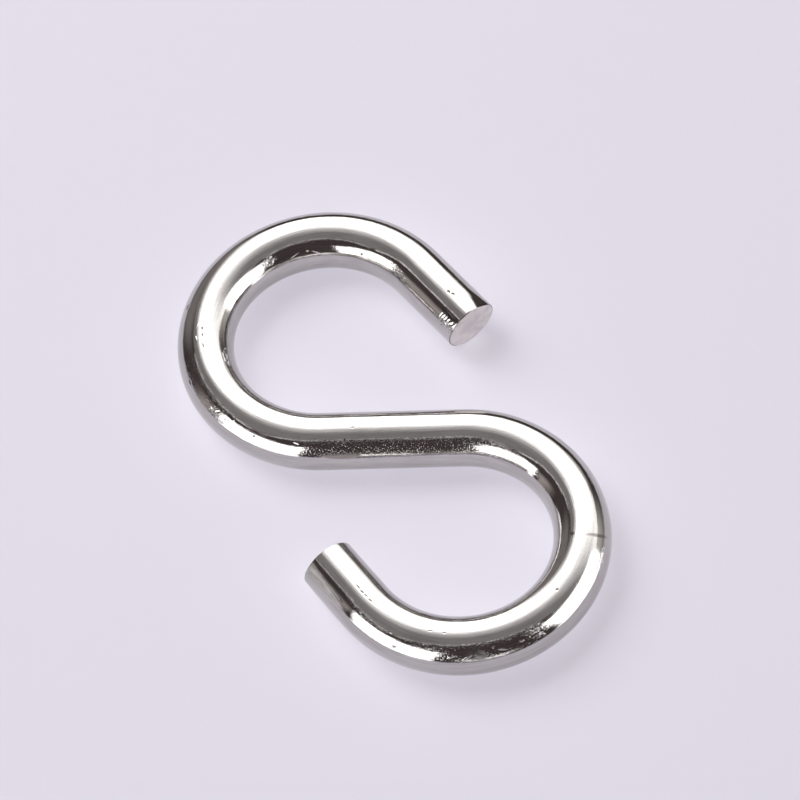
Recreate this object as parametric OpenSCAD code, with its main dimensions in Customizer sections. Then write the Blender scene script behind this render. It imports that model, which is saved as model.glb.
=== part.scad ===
// S hook bent from one length of round wire, lying flat on its side as it rests on a table.
// The origin is on the table, under the middle of the hook's outline. +Y runs along the line of pull,
// from the centre of the lower eye to the centre of the upper eye, and +Z is up through the wire.

/* [Wire] */
// Diameter of the round wire
wire_d = 5; // [3:0.1:7]
// Length of the straight middle between the two bends
shank_len = 12.4; // [4:0.1:30]

/* [Upper eye] */
// Clear width inside the upper eye
upper_eye_d = 16.2; // [14:0.1:30]
// Angle that the wire turns through round the upper eye
upper_bend = 230; // [190:1:240]
// Length of the straight end beyond the upper bend, along the middle of the wire
upper_tail = 7.5; // [4:0.1:10]
// Slope of the upper cut away from square, which leaves its top side longer
upper_cut_slant = 5; // [0:0.5:12]
// Side that the upper end is pressed flat on: 0 faces the table, 90 away from the eye and 180 up
upper_press_side = 145; // [0:5:180]

/* [Lower eye] */
// Clear width inside the lower eye
lower_eye_d = 15.6; // [14:0.1:30]
// Angle that the wire turns through round the lower eye
lower_bend = 232; // [190:1:240]
// Length of the straight end beyond the lower bend, along the middle of the wire
lower_tail = 5.5; // [4:0.1:10]
// Slope of the lower cut away from square, which leaves its top side longer
lower_cut_slant = 0; // [0:0.5:12]
// Side that the lower end is pressed flat on: 0 faces the table, 90 away from the eye and 180 up
lower_press_side = 65; // [0:5:180]

/* [Sheared ends] */
// Length of wire that the shear pressed flat, back from the cut
press_len = 2.2; // [0.5:0.1:3.5]
// Radius that the pressed side curves in by, seen square to the wire
press_r = 20; // [8:1:60]
// Angle at which the pressed side leaves the wire's surface
press_lead = 1.5; // [1:0.5:8]

/* [Hidden] */
$fn = 48;

wire_r = wire_d / 2;

// Bend radii, to the middle of the wire
upper_r = (upper_eye_d + wire_d) / 2;
lower_r = (lower_eye_d + wire_d) / 2;

// Distance between the centres of the eyes, and how far the shank slopes down across the line of pull
eye_gap = sqrt(pow(upper_r + lower_r, 2) + pow(shank_len, 2));
shank_slope = atan2(shank_len, upper_r + lower_r);

// Where each bend ends, as an angle round its eye from straight across the line of pull
upper_stop = 270 - shank_slope - upper_bend;
lower_stop = 270 - shank_slope - lower_bend;

// How far the hook reaches to each side of the line of pull: to the back of an eye, or to the outer corner
// of the end that the other eye holds out on that side
right_reach = max(lower_r + wire_r, (upper_r + wire_r) * cos(upper_stop) + upper_tail * sin(upper_stop));
left_reach = max(upper_r + wire_r, (lower_r + wire_r) * cos(lower_stop) + lower_tail * sin(lower_stop));
hook_len = eye_gap + upper_r + lower_r + wire_d;

// Middle of the shank, with the outline's middle at the origin: the upper eye's centre is found first
upper_x = (left_reach - right_reach) / 2;
upper_y = hook_len / 2 - upper_r - wire_r;
shank_x = upper_x + shank_len / 2 * cos(shank_slope) - upper_r * sin(shank_slope);
shank_y = upper_y - shank_len / 2 * sin(shank_slope) - upper_r * cos(shank_slope);

// The straight ends are a hair slimmer than the bends, and start a little way back inside them
tail_ease = 0.01;
tail_lap = 0.3;

// A straight run of wire along +X
module straight(d, len) {
    rotate([0, 90, 0]) cylinder(d = d, h = len);
}

// A run of wire bent round the origin, anticlockwise from an angle
module bent(bend_r, start, angle) {
    rotate_extrude(angle = angle, start = start) translate([bend_r, 0]) circle(d = wire_d);
}

// Side view of all that a slanting cut leaves of a straight end, with the wire along +X and its top longer
module cut_outline(len, slant) {
    lean = wire_d * tan(slant);
    polygon([[-wire_d, -wire_d], [len - lean, -wire_d], [len + lean, wire_d], [-wire_d, wire_d]]);
}

// Side view of all that the shear leaves of the side it pressed, which faces down: past where the pressing
// starts, the lower half keeps only what lies inside a large round that curves in towards the cut
module press_outline(len) {
    press_start = len - press_len;
    difference() {
        translate([-wire_d, -wire_d]) square([len + 3 * wire_d, 2 * wire_d]);
        difference() {
            translate([press_start, -wire_d]) square([press_len + 3 * wire_d, wire_d]);
            translate([press_start - press_r * sin(press_lead), press_r * cos(press_lead) - wire_r])
                circle(r = press_r);
        }
    }
}

// A wide block with a side view as its outline, upright along +X
module upright() {
    rotate([90, 0, 0]) linear_extrude(height = 2 * wire_d, center = true) children();
}

// A straight end of the wire along +X, cut off by a shear and pressed on one side
module sheared_end(len, slant, press_side) {
    intersection() {
        translate([-tail_lap, 0, 0]) straight(wire_d - 2 * tail_ease, tail_lap + len + wire_d);
        upright() cut_outline(len, slant);
        rotate([press_side, 0, 0]) upright() press_outline(len);
    }
}

// One eye round the origin, for a shank that comes in from the right at its lowest point.
// The bend runs clockwise from there, and the straight end takes over where it stops.
module eye(bend_r, bend, tail, slant, press_side) {
    bent(bend_r, -90 - bend, bend);
    rotate([0, 0, -90 - bend]) translate([bend_r, 0, 0]) rotate([0, 0, -90])
        sheared_end(tail, slant, press_side);
}

// The whole wire: the shank, the upper eye at its left end, and the lower eye turned half round at its right
module hook() {
    color("gainsboro") translate([shank_x, shank_y, wire_r]) rotate([0, 0, -shank_slope]) {
        translate([-shank_len / 2, 0, 0]) straight(wire_d, shank_len);
        translate([-shank_len / 2, upper_r, 0])
            eye(upper_r, upper_bend, upper_tail, upper_cut_slant, upper_press_side);
        translate([shank_len / 2, -lower_r, 0]) rotate([0, 0, 180])
            eye(lower_r, lower_bend, lower_tail, lower_cut_slant, lower_press_side);
    }
}

hook();
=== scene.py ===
"""An S hook of bright plated wire, lying on a pale table under soft studio light."""

import math

import bpy
import numpy as np
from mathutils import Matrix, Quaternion, Vector


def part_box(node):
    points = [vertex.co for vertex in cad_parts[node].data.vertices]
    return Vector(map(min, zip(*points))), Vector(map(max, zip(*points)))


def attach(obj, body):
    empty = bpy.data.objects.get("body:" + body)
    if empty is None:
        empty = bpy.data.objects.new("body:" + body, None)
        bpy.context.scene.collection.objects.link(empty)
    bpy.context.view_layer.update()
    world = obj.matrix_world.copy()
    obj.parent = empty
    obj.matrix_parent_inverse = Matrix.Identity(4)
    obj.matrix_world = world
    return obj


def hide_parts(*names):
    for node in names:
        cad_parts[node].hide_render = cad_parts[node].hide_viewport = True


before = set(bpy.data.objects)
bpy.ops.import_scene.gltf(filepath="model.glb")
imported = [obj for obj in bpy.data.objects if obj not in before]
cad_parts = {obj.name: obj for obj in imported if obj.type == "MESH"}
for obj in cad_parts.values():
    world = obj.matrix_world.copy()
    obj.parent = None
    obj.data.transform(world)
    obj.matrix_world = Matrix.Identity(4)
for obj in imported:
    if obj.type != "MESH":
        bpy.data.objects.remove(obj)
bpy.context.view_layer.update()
scene = bpy.context.scene


# The camera stands in front of the hook and looks down on it, turned a little on its own axis.
# A long lens from 38 cm away gives the photograph's flat view, and the hook fills half of the frame.

camera_bearing = math.radians(-112.2)
camera_height = math.radians(57.52)
camera_turn = math.radians(-8.73)
camera_distance = 0.3771
camera_aim = Vector((0.00212, 0.00292, 0.0025))


def toward(bearing, height):
    """Unit direction at a bearing, anticlockwise from +X, and an angle above the table."""
    level = math.cos(height)
    return Vector((level * math.cos(bearing), level * math.sin(bearing), math.sin(height)))


camera_data = bpy.data.cameras.new("camera")
camera_data.lens = 194.1
camera_data.sensor_width = 36
camera_data.clip_start = 0.01
camera = bpy.data.objects.new("camera", camera_data)
scene.collection.objects.link(camera)
scene.camera = camera
camera.rotation_mode = "QUATERNION"
camera.location = camera_aim + camera_distance * toward(camera_bearing, camera_height)
looking = (camera_aim - camera.location).to_track_quat("-Z", "Y")
camera.rotation_quaternion = looking @ Quaternion((0, 0, 1), camera_turn)
scene.view_settings.view_transform = "Standard"


# The wire is one length of round steel wire, bent cold round two pins into an S and cut at both ends by
# a shear. The shear pressed one side of each end a little flat, and left the cut faces satin and torn.

low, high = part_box("hook")
wire_r = 0.0025
upper_tail = 0.0075
upper_bend_r = 0.0106
upper_bend = math.radians(230)
shank_len = 0.0124
lower_bend_r = 0.0103
lower_bend = math.radians(232)
lower_tail = 0.0055
upper_cut_slant = math.radians(5)

bent_lengths = [upper_tail, upper_bend_r * upper_bend, shank_len, lower_bend_r * lower_bend, lower_tail]
stations = np.concatenate([[0.0], np.cumsum(bent_lengths)])
wire_len = stations[-1]
shank_slope = math.atan2(shank_len, upper_bend_r + lower_bend_r)

# Rings are closer together near the cuts, where the shear's marks are
end_zone = 0.003
end_rings = 45
middle_rings = 890
edge_rings = 4
face_rings = 12
columns = 92
edge_r = 0.00008


def ring_places():
    """Distance of each ring along the wire and its share of the full section, from the middle of the upper cut
    face to the middle of the lower one. A face's edge is a quarter round: edge_r * (1 - cos), edge_r * (1 - sin)."""
    quarter = np.linspace(0, math.pi / 2, edge_rings + 1)
    edge_along = edge_r * (1 - np.cos(quarter))
    edge_share = 1 - edge_r / wire_r * (1 - np.sin(quarter))
    face_share = edge_share[0] * np.linspace(0.03, 0.98, face_rings)
    near = np.linspace(edge_r, end_zone, end_rings + 1)[1:-1]
    middle = np.linspace(end_zone, wire_len - end_zone, middle_rings)
    along = np.concatenate([np.zeros(face_rings), edge_along, near, middle, wire_len - near[::-1],
                            wire_len - edge_along[::-1], np.full(face_rings, wire_len)])
    whole = np.ones(2 * len(near) + middle_rings)
    share = np.concatenate([face_share, edge_share, whole, edge_share[::-1], face_share[::-1]])
    return along, share


def middle_line(along):
    """Middle of the wire at distances along it, and its heading. The heading turns evenly through each bend, and
    each step is the chord of its short arc: length times sin(half turn) / half turn."""
    turned = np.cumsum([0, 0, upper_bend, 0, -lower_bend, 0])
    heading = np.interp(along, stations, turned - upper_bend - shank_slope)
    half_turn = np.diff(heading) / 2
    chord = np.diff(along) * np.sinc(half_turn / np.pi)
    between = heading[:-1] + half_turn
    place = np.zeros((len(along), 2))
    place[1:, 0] = np.cumsum(chord * np.cos(between))
    place[1:, 1] = np.cumsum(chord * np.sin(between))
    return place, heading


def pressed(across, up, side, depth, blend):
    """Section points held back to a flat that lies depth inside the round on one side. The height toward that
    side becomes the smooth smaller of itself and the flat's: half of h + f less the root of (h - f)^2 + blend^2."""
    height = across * np.cos(side) + up * np.sin(side)
    flat = wire_r - depth
    held = (height + flat - np.sqrt((height - flat) ** 2 + blend ** 2)) / 2
    move = (held - height) * np.clip(depth / blend, 0, 1)
    return across + move * np.cos(side), up + move * np.sin(side)


def press_depth(from_cut, reach, lead, radius):
    """Depth of the pressed side at a distance from the cut, with x the distance past where the pressing starts:
    lead * x + x^2 / (2 * radius)."""
    past = np.clip(reach - from_cut, 0, None)
    return lead * past + past ** 2 / (2 * radius)


press_reach = 0.0022
press_lead = math.tan(math.radians(1.5))
press_r = 0.020
upper_press_side = math.radians(125)
lower_press_side = math.radians(-25)
press_blend = 0.00006


def bent_wire():
    """The wire's skin as rings round its middle line. A point at an angle round the wire stands at
    radius * (cos angle, sin angle) from the middle, to the left and up, before the pressing and the slant."""
    along, share = ring_places()
    angle = np.linspace(0, 2 * math.pi, columns, endpoint=False)
    waver = 1 + 0.0012 * np.sin(along[:, None] * 410 + 2 * angle) * np.sin(along[:, None] * 173 + 1)
    across = wire_r * share[:, None] * np.cos(angle) * waver
    up = wire_r * share[:, None] * np.sin(angle) * waver
    upper_depth = press_depth(along, press_reach, press_lead, press_r)[:, None]
    lower_depth = press_depth(wire_len - along, press_reach, press_lead, press_r)[:, None]
    across, up = pressed(across, up, upper_press_side, upper_depth, press_blend)
    across, up = pressed(across, up, lower_press_side, lower_depth, press_blend)
    place, heading = middle_line(along)
    ahead = np.stack([np.cos(heading), np.sin(heading)], 1)[:, None]
    left = np.stack([-np.sin(heading), np.cos(heading)], 1)[:, None]
    lean = -math.tan(upper_cut_slant) * up * np.clip(1 - along / end_zone, 0, 1)[:, None]
    points = np.empty((len(along), columns, 3))
    points[..., :2] = place[:, None] + across[..., None] * left + lean[..., None] * ahead
    points[..., 2] = up
    return points, along


points, ring_along = bent_wire()
rings = len(ring_along)
lowest = points.reshape(-1, 3).min(0)
highest = points.reshape(-1, 3).max(0)
points += (np.array(low) + np.array(high)) / 2 - (lowest + highest) / 2
poles = np.stack([points[0].mean(0), points[-1].mean(0)])

index = np.arange(rings * columns).reshape(rings, columns)
beside = np.roll(index, -1, 1)
quads = np.stack([index[:-1], beside[:-1], beside[1:], index[1:]], -1).reshape(-1, 4)
upper_fan = np.stack([beside[0], index[0], np.full(columns, index.size)], -1)
lower_fan = np.stack([index[-1], beside[-1], np.full(columns, index.size + 1)], -1)

mesh = bpy.data.meshes.new("bent_wire")
mesh.from_pydata(np.vstack([points.reshape(-1, 3), poles]), [],
                 quads.tolist() + upper_fan.tolist() + lower_fan.tolist())
mesh.update()

# The surface map holds the distance along the wire and the angle round it, each from 0 to 1
share_along = ring_along / wire_len
share_round = np.arange(columns + 1) / columns
quad_along = np.stack([share_along[:-1], share_along[:-1], share_along[1:], share_along[1:]], -1)
quad_round = np.stack([share_round[:-1], share_round[1:], share_round[1:], share_round[:-1]], -1)
surface = np.empty((rings - 1, columns, 4, 2))
surface[..., 0] = quad_along[:, None]
surface[..., 1] = quad_round[None]
fan = np.zeros((2, columns, 3, 2))
fan[1, ..., 0] = 1
fan[0, :, :, 1] = np.stack([share_round[1:], share_round[:-1], share_round[:-1]], -1)
fan[1, :, :, 1] = np.stack([share_round[:-1], share_round[1:], share_round[:-1]], -1)
surface_map = mesh.uv_layers.new(name="surface")
surface_map.data.foreach_set("uv", np.concatenate([surface.ravel(), fan.ravel()]))

# How far each point belongs to a cut face: 1 on the face, a half on its edge and 0 on the wire
face_share = np.zeros((rings, columns))
face_share[:face_rings + edge_rings] = 0.5
face_share[-face_rings - edge_rings:] = 0.5
face_share[:face_rings] = 1
face_share[-face_rings:] = 1
cut = mesh.attributes.new("cut", "FLOAT", "POINT")
cut.data.foreach_set("value", np.concatenate([face_share.ravel(), [1, 1]]))
mesh.polygons.foreach_set("use_smooth", np.ones(len(mesh.polygons), bool))

wire = bpy.data.objects.new("bent_wire", mesh)
scene.collection.objects.link(wire)

# The plating is thin bright nickel that shows every mark of the wire under it: fine lines from the drawing
# die, a faint ripple, speckle where the bending pin rubbed, and pits, scratches and scuffs from the barrel.
# Heights are in thousandths of a millimetre, and places are along the wire and round it, both in millimetres.

plating = bpy.data.materials.new("bright_nickel_plating")
plating.use_nodes = True
tree = plating.node_tree
shader = tree.nodes["Principled BSDF"]
shader.inputs["Metallic"].default_value = 1.0
mm_round = 2 * math.pi * wire_r * 1000
mm_along = wire_len * 1000


def joined(kind, *feeds, **settings):
    """A new node with its settings, and its first inputs fed in order from sockets or plain values."""
    made = active.nodes.new(kind)
    for name, value in settings.items():
        setattr(made, name, value)
    for socket, feed in zip(made.inputs, feeds):
        if isinstance(feed, bpy.types.NodeSocket):
            active.links.new(feed, socket)
        elif feed is not None:
            socket.default_value = feed
    return made


def sum_of(operation, *feeds):
    """The result of one step of arithmetic."""
    return joined("ShaderNodeMath", *feeds, operation=operation).outputs[0]


active = tree
map_node = joined("ShaderNodeUVMap", uv_map="surface")
spread = joined("ShaderNodeVectorMath", map_node.outputs[0], (mm_along, mm_round, 0), operation="MULTIPLY")
on_wire = spread.outputs[0]
on_object = joined("ShaderNodeTexCoord").outputs["Object"]
on_face = joined("ShaderNodeAttribute", attribute_name="cut").outputs["Fac"]

# A dent: a smooth bowl of an oval outline, depth * (1 - r^2)^2, turned on the wire. Its second result is how
# far a point lies inside the outline.
dent = bpy.data.node_groups.new("dent", "ShaderNodeTree")
for name, kind in (("On wire", "NodeSocketVector"), ("Centre", "NodeSocketVector"), ("Half size", "NodeSocketVector"),
                   ("Turn", "NodeSocketFloat"), ("Depth", "NodeSocketFloat")):
    dent.interface.new_socket(name, in_out="INPUT", socket_type=kind)
for name in ("Height", "Inside"):
    dent.interface.new_socket(name, in_out="OUTPUT", socket_type="NodeSocketFloat")
active = dent
given = joined("NodeGroupInput").outputs
shifted = joined("ShaderNodeVectorMath", given[0], given[1], operation="SUBTRACT").outputs[0]
turned = joined("ShaderNodeVectorRotate", shifted, rotation_type="Z_AXIS")
dent.links.new(given[3], turned.inputs["Angle"])
scaled = joined("ShaderNodeVectorMath", turned.outputs[0], given[2], operation="DIVIDE").outputs[0]
square = joined("ShaderNodeVectorMath", scaled, scaled, operation="DOT_PRODUCT").outputs["Value"]
inside = joined("ShaderNodeMath", 1.0, square, operation="SUBTRACT", use_clamp=True).outputs[0]
bowl = sum_of("MULTIPLY", sum_of("MULTIPLY", inside, inside), given[4])
taken = joined("NodeGroupOutput")
dent.links.new(sum_of("MULTIPLY", bowl, -1.0), taken.inputs[0])
dent.links.new(inside, taken.inputs[1])
active = tree


def dent_at(along, degrees, half_long, half_wide, turn, depth):
    """One dent at a distance along the wire in mm and an angle round it, with half its length and width in mm,
    its turn from the wire's line in degrees and its depth in thousandths of a mm."""
    made = joined("ShaderNodeGroup", None, node_tree=dent)
    active.links.new(on_wire, made.inputs["On wire"])
    made.inputs["Centre"].default_value = (along, degrees / 360 * mm_round, 0)
    made.inputs["Half size"].default_value = (half_long, half_wide, 1)
    made.inputs["Turn"].default_value = math.radians(-turn)
    made.inputs["Depth"].default_value = depth
    return made


def total(sockets):
    """The sum of any number of sockets."""
    result = sockets[0]
    for socket in sockets[1:]:
        result = sum_of("ADD", result, socket)
    return result


# Along the wire in mm, round it in degrees, half length, half width, turn in degrees, depth
pits = [
    (2.28, 89, 0.22, 0.20, 0, 45), (2.70, 86, 0.22, 0.18, 20, 45), (12.7, 36, 0.20, 0.15, 0, 40),
    (31.1, 136, 0.34, 0.22, 30, 35), (33.5, 91, 0.26, 0.11, 0, 34), (34.2, 90, 0.24, 0.11, 0, 34),
    (35.3, 91, 0.36, 0.09, 0, 30), (35.6, 43, 0.16, 0.12, 0, -30), (37.75, 144, 0.24, 0.18, 0, 40),
    (44.95, 134, 0.14, 0.12, 0, 35), (52.3, 118, 0.12, 0.12, 0, -25), (53.0, 94, 0.20, 0.10, 0, 14),
    (85.5, 86, 0.18, 0.14, 0, 30), (96.0, 86, 0.20, 0.09, 0, 26), (97.2, 87, 0.24, 0.09, 0, 26),
    (99.6, 35, 0.26, 0.17, -20, 45), (79.70, 109, 0.30, 0.34, 0, 12), (79.55, 57, 1.35, 0.20, 78, 7),
    (103.2, 89, 0.26, 0.11, 0, 34), (103.8, 90, 0.24, 0.10, 0, 34), (104.3, 89, 0.26, 0.12, 0, 34),
    (104.9, 90, 0.34, 0.10, 0, 34), (1.2, 53, 1.00, 0.26, 3, 30),
]
scratches = [
    (33.2, 102, 0.40, 0.10, 25, -24), (34.4, 104, 0.30, 0.12, -10, -22), (42.95, 123, 0.34, 0.09, 100, -24),
    (48.3, 128, 0.30, 0.08, 15, 22), (90.2, 44, 0.40, 0.11, 20, -26), (91.7, 42, 0.55, 0.11, 18, -28),
    (91.0, 55, 0.25, 0.10, 0, -24), (92.3, 50, 0.22, 0.10, 0, -24), (94.3, 36, 0.80, 0.13, -38, -30),
    (95.3, 40, 0.50, 0.09, -25, -24), (17.9, 34, 0.75, 0.13, 22, -32), (18.8, 41, 0.34, 0.26, 0, -38),
    (20.2, 37, 0.75, 0.13, -18, -32), (106.1, 48, 1.40, 0.09, 4, -26), (106.3, 39, 0.90, 0.10, 8, 26),
    (40.9, 137, 0.35, 0.16, 30, 28), (41.4, 132, 0.30, 0.12, -40, 26), (71.4, 141, 0.40, 0.12, 0, 28),
]
pit_dents = [dent_at(*pit) for pit in pits]
scratch_dents = [dent_at(*scratch) for scratch in scratches]
marks = total([made.outputs["Height"] for made in pit_dents + scratch_dents])
# How far a point lies inside any of the pits, whose colour is darkened below. The long crease at 79.55 mm is listed
# with them, and its darker colour is painted shade.
darkened_pits_and_crease = joined("ShaderNodeMath", total([made.outputs["Inside"] for made in pit_dents]), 0.0,
                operation="ADD", use_clamp=True).outputs[0]

# Scuffed patches: where along and round they lie, half length, half width and turn
scuffs = [
    (7.9, 42, 1.4, 0.45, 4), (42.0, 140, 0.8, 0.35, 0), (36.9, 45, 1.2, 0.5, 0), (88.9, 48, 1.2, 0.7, 10),
    (93.2, 40, 0.60, 0.55, 0), (23.2, 46, 1.0, 0.5, 0), (81.5, 36, 1.8, 0.3, 0),
]
scuff_dents = [dent_at(*scuff, 1) for scuff in scuffs]
scuffed = joined("ShaderNodeMath", total([made.outputs["Inside"] for made in scuff_dents]), 1.6,
                 operation="MULTIPLY", use_clamp=True).outputs[0]


def grain(scale_along, scale_round, detail=2.0, roughness=0.5, shift=0.0):
    """Noise from -0.5 to 0.5, with its own number of grains to a millimetre along the wire and round it."""
    place = joined("ShaderNodeMapping", on_wire, (shift, shift, 0), (0, 0, 0), (scale_along, scale_round, 1))
    noise = joined("ShaderNodeTexNoise", place.outputs[0])
    noise.inputs["Scale"].default_value = 1.0
    noise.inputs["Detail"].default_value = detail
    noise.inputs["Roughness"].default_value = roughness
    return sum_of("SUBTRACT", noise.outputs["Fac"], 0.5)


def within(socket, start, full):
    """A share that rises smoothly from 0 at one value to 1 at another."""
    ramp = joined("ShaderNodeMapRange", socket, start, full, 0.0, 1.0, interpolation_type="SMOOTHSTEP")
    return ramp.outputs["Result"]


split = joined("ShaderNodeSeparateXYZ", on_wire).outputs
along_wire, round_wire = split[0], split[1]
degree = mm_round / 360

draw_lines = sum_of("MULTIPLY", grain(0.25, 7.0, 3.0, 0.6), 4.5)
ripple = sum_of("MULTIPLY", grain(0.9, 1.4, 2.0, 0.5, 3.0), 3.4)
peel = sum_of("MULTIPLY", grain(4.0, 5.0, 3.0, 0.6, 7.0), 4.0)


def area(start, end, foot, head, soft=1.0):
    """A patch of the surface between two distances along the wire and two angles round it, with soft edges."""
    lengthwise = sum_of("MULTIPLY", within(along_wire, start - soft, start + soft), within(along_wire, end + soft, end - soft))
    crosswise = sum_of("MULTIPLY", within(round_wire, (foot - 4) * degree, (foot + 4) * degree),
                       within(round_wire, (head + 4) * degree, (head - 4) * degree))
    return sum_of("MULTIPLY", lengthwise, crosswise)


speckle_place = total([sum_of("MULTIPLY", area(49, 68, 119, 152, 2.0), 1.15), sum_of("MULTIPLY", area(88.5, 98, 30, 64), 0.9), area(36, 42, 112, 150, 1.5),
                       sum_of("MULTIPLY", area(15, 24, 30, 62), 0.3), area(98, 104.5, 56, 66)])
speckle_dots = sum_of("ADD", within(grain(6.2, 7.2, 1.0, 0.5, 11.0), 0.00, 0.22), within(grain(3.4, 8.5, 1.0, 0.5, 31.0), 0.05, 0.26))
speckle = sum_of("MULTIPLY", sum_of("MULTIPLY", speckle_dots, 5.0), speckle_place)
scuff_grain = sum_of("MULTIPLY", sum_of("MULTIPLY", within(grain(2.2, 6.0, 1.5, 0.6, 5.0), -0.02, 0.14), 18.0), scuffed)

# Ridges that the shear's jaw chattered across the upper end
chatter_wave = sum_of("SINE", total([sum_of("MULTIPLY", along_wire, 18.5), sum_of("MULTIPLY", round_wire, 5.0),
                                    sum_of("MULTIPLY", grain(1.5, 1.5, 2.0, 0.5, 21.0), 9.0)]))
chatter_place = sum_of("MULTIPLY", sum_of("MULTIPLY", within(along_wire, 0.1, 0.4), within(along_wire, 2.0, 1.5)),
                       sum_of("MULTIPLY", within(round_wire, 12 * degree, 20 * degree),
                              within(round_wire, 50 * degree, 42 * degree)))
chatter = sum_of("MULTIPLY", sum_of("MULTIPLY", chatter_wave, 24.0), chatter_place)

# The side that the shear's jaw dragged along the lower end, from a ragged start to the cut
drag_line = sum_of("SUBTRACT", round_wire,
                   sum_of("ADD", sum_of("MULTIPLY", along_wire, 3.6 * degree), (39 - 3.6 * 104.3) * degree))
drag_place = sum_of("MULTIPLY", within(along_wire, 103.9, 105.0),
                    sum_of("MULTIPLY", within(drag_line, 5 * degree, -6 * degree), within(round_wire, 4 * degree, 22 * degree)))
drag = sum_of("MULTIPLY", sum_of("MULTIPLY", grain(1.2, 8.0, 3.0, 0.7, 9.0), 22.0), drag_place)

smooth_wire = within(on_face, 0.5, 0.0)
wire_height = sum_of("MULTIPLY", total([draw_lines, ripple, peel, speckle, scuff_grain, chatter, drag, marks]),
                     smooth_wire)


def tearing(scale, size, shift):
    """Noise on a cut face, in the object's own directions, stretched along the way the shear went."""
    place = joined("ShaderNodeMapping", on_object, (shift, 0, 0), (0, 0, 0), scale)
    noise = joined("ShaderNodeTexNoise", place.outputs[0])
    noise.inputs["Scale"].default_value = 1000.0
    noise.inputs["Detail"].default_value = 3.0
    return sum_of("MULTIPLY", sum_of("SUBTRACT", noise.outputs["Fac"], 0.5), size)


face_height = sum_of("MULTIPLY", total([tearing((3.0, 3.0, 0.8), 16.0, 0.0), tearing((9.0, 9.0, 6.0), 5.0, 4.0)]), on_face)
relief = joined("ShaderNodeBump")
relief.inputs["Strength"].default_value = 1.0
relief.inputs["Distance"].default_value = 0.000001
tree.links.new(sum_of("ADD", wire_height, face_height), relief.inputs["Height"])
tree.links.new(relief.outputs["Normal"], shader.inputs["Normal"])

rub = sum_of("MULTIPLY", within(grain(0.5, 1.2, 3.0, 0.6, 13.0), 0.0, 0.25), 0.05)
# A dull spot where the plating burned
ragged = sum_of("MULTIPLY", grain(1.6, 2.4, 3.0, 0.6, 23.0), 1.6)
dull_spot = within(sum_of("ADD", dent_at(93.5, 40, 1.05, 0.62, 8, 1).outputs["Inside"], ragged), 0.25, 0.60)
roughness = total([sum_of("MULTIPLY", on_face, 0.32), sum_of("MULTIPLY", scuffed, 0.04),
                   sum_of("MULTIPLY", drag_place, 0.16), sum_of("MULTIPLY", speckle_place, 0.02),
                   sum_of("MULTIPLY", dull_spot, 0.17), rub, 0.055])
tree.links.new(roughness, shader.inputs["Roughness"])

cloud = within(grain(0.35, 0.8, 3.0, 0.6, 17.0), -0.15, 0.25)
streak = within(grain(0.25, 5.0, 4.0, 0.65, 19.0), -0.15, 0.2)
clean = joined("ShaderNodeMix", data_type="RGBA")
clean.inputs[6].default_value = (0.56, 0.545, 0.53, 1)
clean.inputs[7].default_value = (0.44, 0.42, 0.41, 1)
tree.links.new(total([sum_of("MULTIPLY", cloud, 0.4), sum_of("MULTIPLY", streak, 0.6)]), clean.inputs[0])
# Noise that mottles the colour of the cut faces, and also breaks up the painted shade of the burr on their rims.
stain_and_shade_noise = joined("ShaderNodeMapping", on_object, (0, 0, 0), (0, 0, 0), (900, 900, 900))
stain_and_shade_noise = joined("ShaderNodeTexNoise", stain_and_shade_noise.outputs[0])
stain_and_shade_noise.inputs["Scale"].default_value = 1.0
stain_and_shade_noise.inputs["Detail"].default_value = 4.0
torn = joined("ShaderNodeMix", within(stain_and_shade_noise.outputs["Fac"], 0.38, 0.62), data_type="RGBA")
torn.inputs[6].default_value = (0.80, 0.77, 0.735, 1)
torn.inputs[7].default_value = (0.70, 0.655, 0.65, 1)
# The band at the edge of each cut face, darkened below in patches as painted shade of the shear's burr.
burr_shade_band = sum_of("SUBTRACT", 1.0, sum_of("ABSOLUTE", sum_of("SUBTRACT", sum_of("MULTIPLY", on_face, 2.0), 1.0)))
surface_colour = joined("ShaderNodeMix", data_type="RGBA")
tree.links.new(within(on_face, 0.5, 1.0), surface_colour.inputs[0])
tree.links.new(clean.outputs[2], surface_colour.inputs[6])
tree.links.new(torn.outputs[2], surface_colour.inputs[7])
# Darker colour inside the pits and on the burned spot, with painted shade along the crease and on the cut faces' rims.
dark_marks_and_painted_shade = total([sum_of("MULTIPLY", darkened_pits_and_crease, 0.75), sum_of("MULTIPLY", dull_spot, 0.30),
              sum_of("MULTIPLY", sum_of("MULTIPLY", burr_shade_band, within(stain_and_shade_noise.outputs["Fac"], 0.60, 0.45)), 0.60)])
marks_and_shade_mix = joined("ShaderNodeMix", data_type="RGBA")
tree.links.new(dark_marks_and_painted_shade, marks_and_shade_mix.inputs[0])
tree.links.new(surface_colour.outputs[2], marks_and_shade_mix.inputs[6])
marks_and_shade_mix.inputs[7].default_value = (0.13, 0.11, 0.10, 1)
tree.links.new(marks_and_shade_mix.outputs[2], shader.inputs["Base Color"])

mesh.materials.append(plating)
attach(wire, "root")
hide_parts("hook")


# The table is a plain pale lavender sheet with a smooth face, far larger than the view. Like any smooth
# sheet it mirrors what lies low behind it to a look that grazes it, and hardly at all from above.

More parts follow.
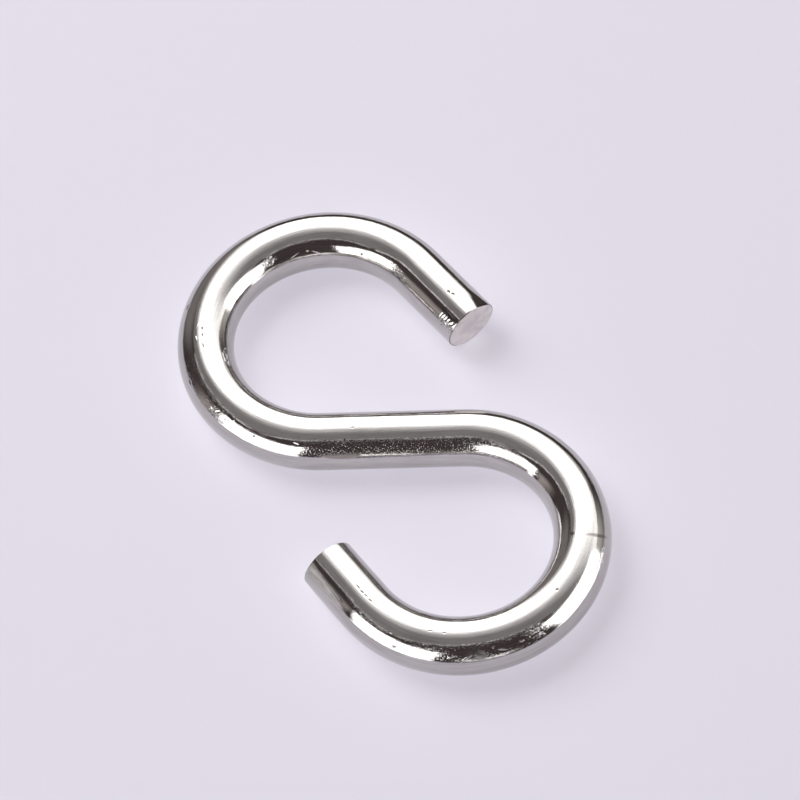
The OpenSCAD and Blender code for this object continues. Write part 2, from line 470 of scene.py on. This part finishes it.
table_half = 6.0
table_mesh = bpy.data.meshes.new("table")
table_mesh.from_pydata([(-table_half, -table_half, 0), (table_half, -table_half, 0),
                        (table_half, table_half, 0), (-table_half, table_half, 0)], [], [(0, 1, 2, 3)])
table = bpy.data.objects.new("table", table_mesh)
scene.collection.objects.link(table)
sheet = bpy.data.materials.new("pale_sheet")
sheet.use_nodes = True
sheet_nodes, sheet_links = sheet.node_tree.nodes, sheet.node_tree.links
sheet_shader = sheet_nodes["Principled BSDF"]
sheet_shader.inputs["Base Color"].default_value = (0.80, 0.776, 0.87, 1)
sheet_shader.inputs["Roughness"].default_value = 0.9
sheet_shader.inputs["Specular IOR Level"].default_value = 0.0
sheet_gloss = sheet_nodes.new("ShaderNodeBsdfGlossy")
sheet_gloss.inputs["Roughness"].default_value = 0.05
grazing = sheet_nodes.new("ShaderNodeMapRange")
grazing.inputs["From Min"].default_value = 0.83
grazing.inputs["From Max"].default_value = 0.89
sheet_links.new(sheet_nodes.new("ShaderNodeLayerWeight").outputs["Facing"], grazing.inputs["Value"])
sheet_mix = sheet_nodes.new("ShaderNodeMixShader")
sheet_links.new(grazing.outputs["Result"], sheet_mix.inputs[0])
sheet_links.new(sheet_shader.outputs[0], sheet_mix.inputs[1])
sheet_links.new(sheet_gloss.outputs[0], sheet_mix.inputs[2])
sheet_links.new(sheet_mix.outputs[0], sheet_nodes["Material Output"].inputs["Surface"])
table_mesh.materials.append(sheet)


# The studio: a soft box on each side at the front and a large one behind, a dim wall on each side, and a dim
# panel overhead with brighter edges. Each faces the hook from a metre away, and the room beyond is dark.

def soft_light(name, bearing, height, wide, tall, brightness, fades, tint=(1, 1, 1), aside=0.0):
    """A flat panel of light a metre from the hook and facing it, for the hook to reflect. Its bearing is from the
    camera, to the right, in degrees. It fades in smoothly from each edge, over a share of its width or height:
    from the edge nearer the camera going right, the other side, the foot and the head. It is slid aside in its own
    plane by a distance, toward higher bearings."""
    light = bpy.data.lights.new(name, "AREA")
    light.shape = "RECTANGLE"
    light.size = wide
    light.size_y = tall
    light.color = tint
    light.energy = brightness * math.pi * wide * tall
    light.use_nodes = True
    nodes, links = light.node_tree.nodes, light.node_tree.links
    emission = next(n for n in nodes if n.type == "EMISSION")
    place = nodes.new("ShaderNodeNewGeometry")
    split = nodes.new("ShaderNodeSeparateXYZ")
    links.new(place.outputs["Parametric"], split.inputs[0])
    near, far, foot, head = fades
    edges = [("X", 0, near), ("X", 1, 1 - far), ("Y", 0, foot), ("Y", 1, 1 - head)]
    lit = None
    for axis, edge, full in edges:
        ramp = nodes.new("ShaderNodeMapRange")
        ramp.interpolation_type = "SMOOTHSTEP"
        ramp.inputs["From Min"].default_value = edge
        ramp.inputs["From Max"].default_value = full
        links.new(split.outputs[axis], ramp.inputs["Value"])
        if lit is None:
            lit = ramp.outputs["Result"]
            continue
        both = nodes.new("ShaderNodeMath")
        both.operation = "MULTIPLY"
        links.new(lit, both.inputs[0])
        links.new(ramp.outputs["Result"], both.inputs[1])
        lit = both.outputs[0]
    links.new(lit, emission.inputs["Strength"])
    panel = bpy.data.objects.new(name, light)
    scene.collection.objects.link(panel)
    direction = toward(camera_bearing + math.radians(bearing), math.radians(height))
    panel.location = direction + aside * toward(camera_bearing + math.radians(bearing + 90), 0)
    panel.rotation_mode = "QUATERNION"
    panel.rotation_quaternion = (-direction).to_track_quat("-Z", "Y")
    panel.visible_camera = False
    panel.visible_diffuse = False
    return panel


soft_light("left_box", -54, 17, 1.10, 0.64, 4.0, (0.08, 0.08, 0.12, 0.15))
soft_light("right_box", 73, 22.5, 1.00, 0.88, 4.0, (0.12, 0.12, 0.14, 0.20))
soft_light("back_box", 172, 42, 1.68, 1.28, 4.9, (1.00, 0.286, 0.14, 0.55), (1, 0.99, 0.97), -0.26)
soft_light("right_wall", 100, 20, 1.20, 1.30, 0.62, (0.40, 0.50, 0.45, 0.45), (1, 0.98, 0.92))
soft_light("left_wall", -97, 12, 0.42, 0.60, 0.42, (0.75, 0.08, 0.12, 0.40), (1, 0.93, 0.90))
soft_light("back_left_wall", -148, 14, 1.00, 0.90, 0.19, (0.30, 0.30, 0.20, 0.35), (1, 0.97, 0.97))
soft_light("front_strip", 4, 2, 0.80, 0.06, 2.6, (0.30, 0.30, 0.30, 0.30))


def overhead_light(name, height, left, right, front, back, brightness, left_fade, front_fade):
    """A level panel above the hook, between distances to its left and right and in front and behind."""
    panel = soft_light(name, 0, 90, right - left, back - front, brightness, (left_fade, 0.03, front_fade, 0.04))
    panel.location = (toward(camera_bearing + math.radians(90), 0) * (left + right) / 2
                      + toward(camera_bearing + math.radians(180), 0) * (front + back) / 2 + Vector((0, 0, height)))
    panel.rotation_mode = "XYZ"
    panel.rotation_euler = (0, 0, camera_bearing + math.radians(90))


overhead_light("overhead", 1.00, -0.93, 2.2, -0.48, 2.2, 0.235, 0.03, 0.03)
overhead_light("overhead_back", 1.02, -0.52, 2.2, -0.10, 2.2, 1.10, 0.17, 0.30)
overhead_light("overhead_front_edge", 0.99, -0.90, 0.6, -0.53, -0.46, 0.90, 0.03, 0.30)
overhead_light("overhead_left_edge", 0.98, -0.98, -0.91, -0.40, 0.8, 1.50, 0.03, 0.03)


def floor_light(name, bearing, height, size, brightness, casts_shadow):
    """A square light nearly a metre from the hook, for the table alone. The wire doesn't reflect it."""
    light = bpy.data.lights.new(name, "AREA")
    light.size = size
    light.energy = brightness * math.pi * size ** 2
    light.use_shadow = casts_shadow
    light.cycles.use_multiple_importance_sampling = casts_shadow
    lamp = bpy.data.objects.new(name, light)
    scene.collection.objects.link(lamp)
    direction = toward(camera_bearing + math.radians(bearing), math.radians(height))
    lamp.location = 0.94 * direction
    lamp.rotation_mode = "QUATERNION"
    lamp.rotation_quaternion = (-direction).to_track_quat("-Z", "Y")
    lamp.visible_camera = False
    lamp.visible_glossy = False


floor_light("key", -137, 50, 0.70, 2.75, True)
floor_light("fill", 0, 90, 1.00, 2.06, False)

world = bpy.data.worlds.new("studio")
scene.world = world
world.use_nodes = True
world.node_tree.nodes["Background"].inputs["Color"].default_value = (0.080, 0.064, 0.063, 1)
